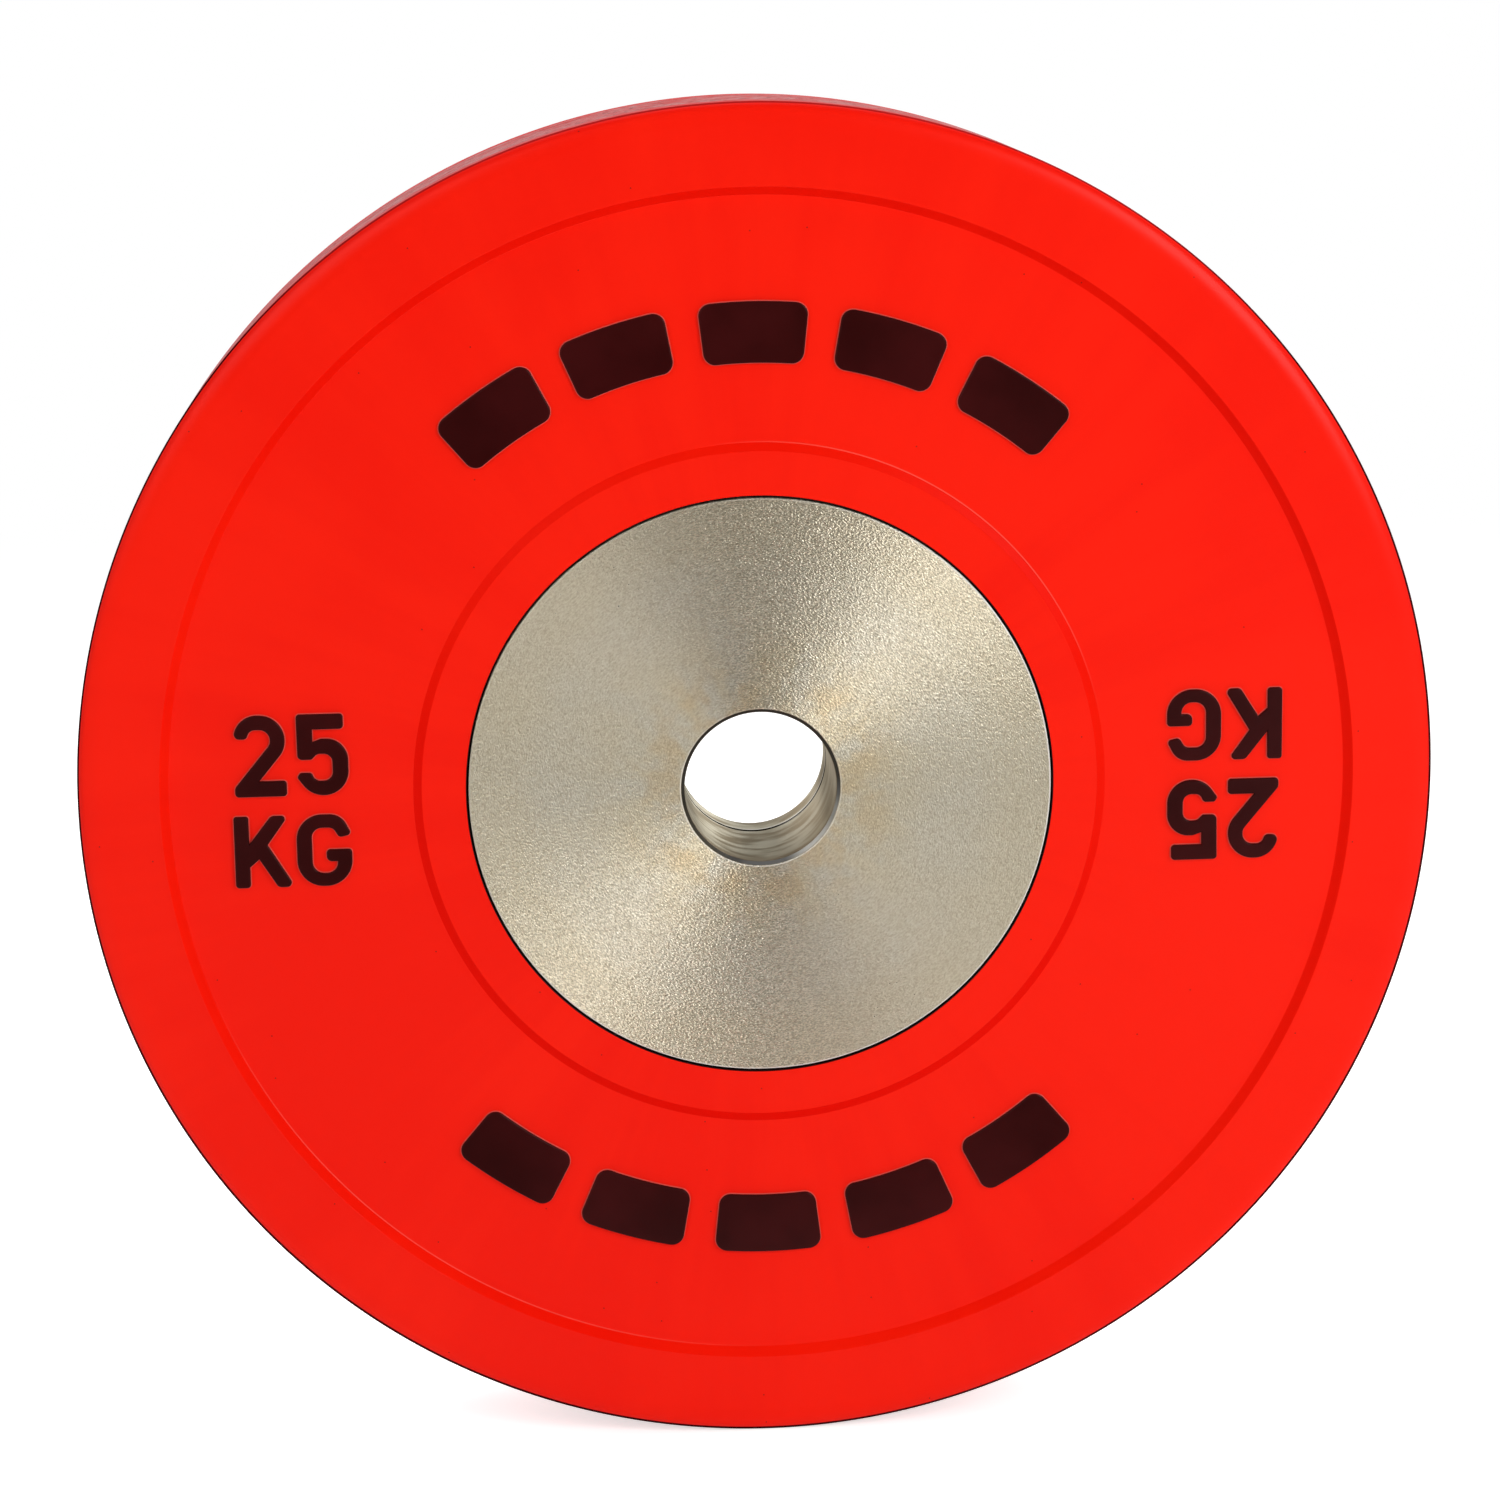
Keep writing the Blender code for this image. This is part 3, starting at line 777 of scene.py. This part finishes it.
def backDisc(material):
    size = hubShape
    face = hubFace / mm
    floor = size["spigotDepth"] - face + size["spigotGap"]
    socket = size["spigotRadius"] + size["spigotGap"]
    bore, edge, mouth = size["boreRadius"], size["edge"], size["spigotEdge"]
    outline = [
        (socket, -size["seatHeight"], 0),
        (size["seatRadius"], -size["seatHeight"], 0),
        (size["seatRadius"], size["lip"] - face, 0),
        (size["radius"], size["lip"] - face, size["lipRound"]),
        (size["radius"], edge - face, size["edgeRound"]),
        (size["radius"] - edge, -face, size["edgeRound"]),
        (bore + size["boreChamfer"], -face, size["mouthRound"]),
        (bore, size["boreChamfer"] - face, size["chamferRound"]),
        (bore, -floor - mouth, size["edgeRound"]),
        (bore + mouth, -floor, size["edgeRound"]),
        (socket, -floor, 0),
    ]
    mesh = turned("turned_back_hub_disc", rounded(outline), size["steps"])
    spots = onCircle(size["screwCount"], screwCircle)
    outside = -hubFace * 2
    holes = rods("holes", spots, outside, 0.0, size["holeRadius"] * mm, size["holeSides"])
    mesh = combined(mesh, holes, "DIFFERENCE")
    shoulder = size["sinkDepth"] * mm - hubFace
    sinks = rods("sinks", spots, outside, shoulder, size["sinkRadius"] * mm, size["sinkSides"])
    mesh = combined(mesh, sinks, "DIFFERENCE")
    mesh = combined(mesh, countersinks(spots), "DIFFERENCE")
    smooth(mesh)
    addPiece(mesh, "turned_back_hub_disc", material, "back_hub_disc")


def countersinks(spots):
    # the small bevel round each counterbore's mouth, at 45 degrees
    radius, edge = hubShape["sinkRadius"] * mm, hubShape["sinkEdge"] * mm
    low = -hubFace - edge
    return cones("countersinks", spots, low, low + 3 * edge, radius + 2 * edge, radius - edge,
                 hubShape["sinkSides"])


screwShape = {
    # millimetres
    "steps": 96,
    "shank": 6.0,
    "head": 9.0,
    "headHeight": 12.0,
    "edge": 0.8,
    "tipRound": 0.1,
    "neckRound": 0.4,
    "headRound": 0.2,
    "shoulderRound": 0.3,
    "acrossFlats": 10.0,
    "socketDepth": 6.0,
    "socketMouth": 6.2,
    "socketBevel": 0.55,
    "knurlDepth": 0.14,
}


def screws(material):
    size = screwShape
    top, tip = screwTop / mm, -screwTip / mm
    under = size["headHeight"] - top
    shank, head, edge, flat = size["shank"], size["head"], size["edge"], size["acrossFlats"] / 2
    outline = [
        (0.0, tip, 0),
        (shank - edge, tip, size["tipRound"]),
        (shank, tip - edge, size["tipRound"]),
        (shank, under, size["neckRound"]),
        (head, under, size["headRound"]),
        (head, edge * 2 - top, 0),
        (head, edge - top, size["shoulderRound"]),
        (head - edge, -top, size["headRound"]),
        (size["socketMouth"], -top, size["tipRound"]),
        (flat, size["socketBevel"] - top, 0),
        (0.0, size["socketBevel"] - top, 0),
    ]
    mesh = turned("screw", rounded(outline), size["steps"])
    knurl(mesh)
    corner = flat / math.cos(math.pi / 6) * mm
    socket = rods("socket", [(0, 0)], -screwTop * 2, (size["socketDepth"] - top) * mm, corner, 6)
    mesh = combined(mesh, socket, "DIFFERENCE")
    smooth(mesh)
    for i, (x, z) in enumerate(onCircle(hubShape["screwCount"], screwCircle)):
        node = f"hub_bolt_{i + 1}"
        place = Matrix.Translation((x, 0, z)) @ facing
        addPiece(mesh, "socket_" + node, material, node, place)


def knurl(mesh):
    # straight teeth round the head's side, below its chamfer
    radius = screwShape["head"] * mm
    shrink = 1 - screwShape["knurlDepth"] / screwShape["head"]
    step = 2 * math.pi / screwShape["steps"]
    for vertex in mesh.vertices:
        x, y = vertex.co.x, vertex.co.y
        tooth = round(math.atan2(y, x) / step) % 2
        if tooth and abs(math.hypot(x, y) - radius) < 2e-5:
            vertex.co.x = x * shrink
            vertex.co.y = y * shrink


markShape = {
    # millimetres and degrees
    "topRound": 0.45,
    "foot": 0.3,
    "sunk": 0.05,
    "roundSteps": 5,
    "smoothAngle": 40,
    "digitBase": 1.7,
    "letterBase": -29.0,
    "dashCount": 5,
    "dashRadius": 151.0,
    "dashWidth": 20.0,
    "dashArc": 13.0,
    "dashPitch": 17.0,
    "dashCorner": 4.0,
    "dashSteps": 12,
}

# each figure's lower left corner, and its outline from there
glyphs = {
    "digit_2": ((-173.3, markShape["digitBase"]), [
        (-0.15, 19.5, 1.7), (1.92, 27.2, 7.6), (16.85, 27.2, 8.4), (16.85, 15.67, 8.4),
        (8.06, 5.2, 0), (17.0, 5.2, 1.2), (17.0, 0, 1.2), (0, 0, 1.3), (0, 3.1, 2.0),
        (12.0, 17.44, 3.5), (12.0, 22.4, 3.5), (5.3, 22.4, 2.5), (4.4, 19.3, 1.6)]),
    "digit_5": ((-152.6, markShape["digitBase"]), [
        (0, 27.2, 1.2), (15.4, 27.2, 1.3), (15.4, 22.1, 1.3), (5.2, 22.1, 0), (5.2, 17.9, 0),
        (8.0, 18.9, 3.0), (16.7, 18.9, 7.2), (16.7, 0, 8.1), (4.3, 0, 8.2), (-0.2, 6.1, 1.0),
        (0.8, 7.6, 0.9), (4.6, 7.6, 1.4), (5.6, 4.8, 2.6), (11.5, 4.8, 3.0), (11.5, 13.9, 2.8),
        (6.6, 13.9, 2.0), (4.7, 12.0, 1.0), (0.1, 12.0, 1.6)]),
    "letter_K": ((-174.3, markShape["letterBase"]), [
        (0, 24.1, 1.0), (4.9, 24.1, 1.0), (4.9, 14.7, 0), (12.3, 24.1, 2.2), (18.0, 24.1, 1.2),
        (10.9, 14.3, 0.2), (19.5, 0, 1.5), (14.0, 0, 1.8), (8.0, 9.6, 0), (4.9, 6.9, 0.3),
        (4.9, 0, 1.2), (0, 0, 1.2)]),
    "letter_G": ((-153.8, markShape["letterBase"]), [
        (0, 24.1, 8.4), (14.7, 24.1, 6.0), (18.2, 17.2, 1.2), (14.0, 16.3, 1.4), (12.0, 19.7, 2.6),
        (5.0, 19.7, 3.4), (5.0, 4.3, 3.8), (13.3, 4.3, 3.6), (13.3, 8.3, 0), (9.7, 8.3, 1.7),
        (9.7, 12.3, 1.3), (18.1, 12.3, 1.2), (18.1, 0, 8.6), (0, 0, 8.6)]),
}


def inset(outline, amount):
    # every point moved in, square to the outline
    moved = []
    count = len(outline)
    for i, point in enumerate(outline):
        into = (point - outline[i - 1]).normalized()
        away = (outline[(i + 1) % count] - point).normalized()
        first, second = Vector((-into.y, into.x)), Vector((-away.y, away.x))
        moved.append(point + (first + second) / (1 + first.dot(second)) * amount)
    return moved


def markMesh(name, outline):
    # a flat mark with a small foot fillet and a rounded top edge
    size = markShape
    outline = [Vector(point) for i, point in enumerate(outline)
               if math.dist(point, outline[i - 1]) > 1e-6]
    area = sum(a.cross(b) for a, b in zip(outline, outline[1:] + outline[:1]))
    if area < 0:
        outline.reverse()
    top = markTop / mm - rubberShape["webFace"]
    foot, bend = size["foot"], size["topRound"]
    turns = quarterTurn(size["roundSteps"])
    levels = [(-foot, -size["sunk"])]
    levels += [(-foot * (1 - math.sin(a)), foot * (1 - math.cos(a))) for a in turns]
    levels += [(bend * (1 - math.cos(a)), top - bend * (1 - math.sin(a))) for a in turns]
    shape = bmesh.new()
    rings = []
    for amount, height in levels:
        flat = inset(outline, amount * mm)
        rings.append([shape.verts.new((p.x, p.y, height * mm)) for p in flat])
    for low, high in zip(rings, rings[1:]):
        for i in range(len(low)):
            shape.faces.new((low[i - 1], low[i], high[i], high[i - 1]))
    shape.faces.new(rings[-1])
    shape.faces.new(list(reversed(rings[0])))
    mesh = meshFrom(shape, name)
    smooth(mesh, size["smoothAngle"])
    return mesh


def dashOutline(turn):
    # a round-cornered strip, bent to the circle that the dashes follow
    size = markShape
    half = size["dashRadius"] * math.radians(size["dashArc"]) / 2
    side, corner, steps = size["dashWidth"] / 2, size["dashCorner"], size["dashSteps"]
    middles = [(half - corner) * k / steps for k in range(1 - steps, steps)]
    strip = [(-half, side, corner)] + [(m, side, 0) for m in middles]
    strip += [(half, side, corner), (half, -side, corner)]
    strip += [(-m, -side, 0) for m in middles] + [(-half, -side, corner)]
    radius = size["dashRadius"] * mm
    bent = []
    for u, v in rounded(strip):
        angle = turn + u / radius
        bent.append(((radius + v) * math.sin(angle), (radius + v) * math.cos(angle)))
    return bent


def raisedMarks(material):
    lift = Matrix.Translation((0, 0, rubberShape["webFace"] * mm))
    figures = {}
    for glyph, ((left, base), corners) in glyphs.items():
        figures[glyph] = (markMesh(glyph, rounded(corners)), (left * mm, base * mm, 0))
    middle = (markShape["dashCount"] - 1) / 2
    dashes = {}
    for i in range(markShape["dashCount"]):
        turn = math.radians(markShape["dashPitch"]) * (i - middle)
        dashes[f"dash_{i + 1}"] = (markMesh(f"dash_{i + 1}", dashOutline(turn)), (0, 0, 0))
    halfTurn = Matrix.Rotation(math.pi, 4, "Y")
    places = (("left", Matrix(), figures), ("right", halfTurn, figures),
              ("top", Matrix(), dashes), ("bottom", halfTurn, dashes))
    for side, about in (("front", Matrix()), ("back", Matrix.Rotation(math.pi, 4, "Z"))):
        for place, spin, marks in places:
            for mark, (mesh, spot) in marks.items():
                node = f"{side}_{place}_{mark}"
                where = about @ spin @ facing @ lift @ Matrix.Translation(spot)
                addPiece(mesh, "moulded_" + node, material, node, where)


def coreRing(material):
    # the hidden ring keeps its solid
    core = frame["nodes"]["core_ring"]
    core.data.materials.clear()
    core.data.materials.append(material)


studio = {
    "floorRadius": 6.0,
    "floorSides": 96,
    "floorColour": (0.93, 0.93, 0.93, 1),
    "floorPatches": (0.90, 0.90, 0.90, 1),
    "patchScale": 3.0,
    "patchShare": 0.1,
    "glow": 0.62,  # what the camera's white page adds to the lit floor
    "fade": (0.7, 2.2),  # how far out the floor turns into the white page
    "behind": (-0.35, -0.05),  # gloss and steel see the page from here on, and a dim room before it
    "dimFloor": (0.12, 0.50, 0.75, 0.0),  # how dim they see the floor there, from the middle outwards
    "ambient": (0.21, 0.21, 0.215, 1),
    "sideWall": (0.62, 0.62, 0.61, 1),
    "walls": (0.45, 0.95),  # ranges of the direction looked in, from 0 to 1 on each axis
    "mirroredAmbient": (0.215, 0.203, 0.183, 1),  # what gloss and steel see of the room in front
    "mirroredWall": (1.40, 1.35, 1.20, 1),
    "panelSides": (0.22, 0.50),
    "panelHeights": (0.14, 0.42, 1.0, 0.0),
    "page": (0.05, 0.45),
    "white": (1, 1, 1, 1),
    "black": (0, 0, 0, 1),
    "lamps": {
        # name: (where it stands, width, height, watts, colour)
        "key": ((1.02, -1.24, 0.66), 0.65, 0.80, 12.6, (1.0, 0.99, 0.975)),
        "fill": ((-1.05, -1.35, 0.98), 1.0, 1.0, 7.2, (1.0, 0.99, 0.97)),
        "top": ((0.0, 0.25, 1.9), 1.6, 1.6, 12.0, (1.0, 1.0, 1.0)),
        "backLeft": ((1.3, 1.2, 1.1), 1.5, 1.5, 16.0, (1.0, 0.98, 0.96)),
        "backRight": ((-1.3, 1.3, 1.0), 1.5, 1.5, 14.0, (0.97, 0.98, 1.0)),
    },
}


def seenRays(bench):
    # 1 for the rays that show the page: the camera's, and those in metal or glass
    rays = bench.add("ShaderNodeLightPath").socket.node
    camera, glossy, through = [Value(bench, rays.outputs[name]) for name in
                               ("Is Camera Ray", "Is Glossy Ray", "Is Transmission Ray")]
    return camera, glossy.larger(through)


def floorMaterial():
    made, bench = newMaterial("page_floor")
    at = bench.coordinates()
    x, y = bench.split(at)[:2]
    camera, inMirror = seenRays(bench)
    behind = bench.ease(y, *studio["behind"])
    seen = camera.larger(inMirror * behind)
    patches = bench.noise(at, studio["patchScale"], 2.0) * studio["patchShare"]
    paint = bench.blend(patches, studio["floorColour"], studio["floorPatches"])
    dim = inMirror * (1.0 - behind) * bench.ease(abs(x), *studio["dimFloor"])
    paint = bench.blend(dim, paint, studio["black"])
    lit = bench.add("ShaderNodeBsdfDiffuse", {}, {"Color": paint})
    glow = bench.add("ShaderNodeEmission", {}, {"Strength": studio["glow"]})
    glow = bench.add("ShaderNodeMixShader", {}, {0: seen, 2: glow})  # mixed with nothing
    near = bench.add("ShaderNodeAddShader", {}, {0: lit, 1: glow})
    page = bench.add("ShaderNodeEmission", {}, {"Strength": 1.0})
    far = bench.ease((x * x + y * y) ** 0.5, *studio["fade"])
    bench.surface(bench.add("ShaderNodeMixShader", {}, {0: far * seen, 1: near, 2: page}))
    return made


def makeFloor():
    shape = bmesh.new()
    bmesh.ops.create_circle(shape, cap_ends=True, segments=studio["floorSides"],
                            radius=studio["floorRadius"])
    floor = bpy.data.objects.new("floor", meshFrom(shape, "floor"))
    floor.data.materials.append(floorMaterial())
    floor.location = (0, 0, -plateRadius)
    bpy.context.scene.collection.objects.link(floor)


def makeWorld():
    world = bpy.data.worlds.new("studio")
    world.use_nodes = True
    bpy.context.scene.world = world
    bench = Bench(world.node_tree)
    x, y, z = bench.split(bench.add("ShaderNodeTexCoord", output="Generated"))
    camera, inMirror = seenRays(bench)
    room = bench.blend(bench.ease(abs(x), *studio["walls"]), studio["ambient"], studio["sideWall"])
    panels = bench.ease(abs(x), *studio["panelSides"]) * bench.ease(abs(z), *studio["panelHeights"])
    mirroredRoom = bench.blend(panels, studio["mirroredAmbient"], studio["mirroredWall"])
    colour = bench.blend(inMirror, room, mirroredRoom)
    page = camera.larger(inMirror * bench.ease(y, *studio["page"]))
    colour = bench.blend(page, colour, studio["white"])
    light = bench.add("ShaderNodeBackground", {}, {"Color": colour, "Strength": 1.0})
    bench.add("ShaderNodeOutputWorld", {}, {"Surface": light})


def makeLamps():
    for name, (spot, width, height, watts, colour) in studio["lamps"].items():
        data = bpy.data.lights.new(name, "AREA")
        data.shape = "RECTANGLE"
        data.size = width
        data.size_y = height
        data.energy = watts
        data.color = colour
        lamp = bpy.data.objects.new(name, data)
        lamp.location = spot
        lamp.rotation_euler = (-Vector(spot)).to_track_quat("-Z", "Y").to_euler()
        bpy.context.scene.collection.objects.link(lamp)


cameraSetting = {
    "place": (-0.07903, -1.33737, 0.28051),
    "turn": (78.4407, 0.9467, -3.5048),  # degrees
    "lens": 96.9,  # millimetres
    "sensor": 36.0,
}


def makeCamera():
    data = bpy.data.cameras.new("camera")
    data.lens = cameraSetting["lens"]
    data.sensor_width = cameraSetting["sensor"]
    made = bpy.data.objects.new("camera", data)
    made.location = cameraSetting["place"]
    made.rotation_euler = [math.radians(a) for a in cameraSetting["turn"]]
    bpy.context.scene.collection.objects.link(made)
    bpy.context.scene.camera = made


makeCamera()
makeWorld()
makeLamps()
makeFloor()
bpy.context.scene.view_settings.view_transform = "Standard"
say("studio is up")
rubberBody(redRubberMaterial())
say("rubber body is moulded")
steel = turnedSteelMaterial()
frontDisc(steel)
backDisc(steel)
screws(plainMetal("zinc_plate", zincPlate))
say("hub is turned and bolted")
raisedMarks(blackRubberMaterial())
say("marks stand on the web")
coreRing(plainMetal("dark_steel", darkSteel))
say("core ring has its finish")
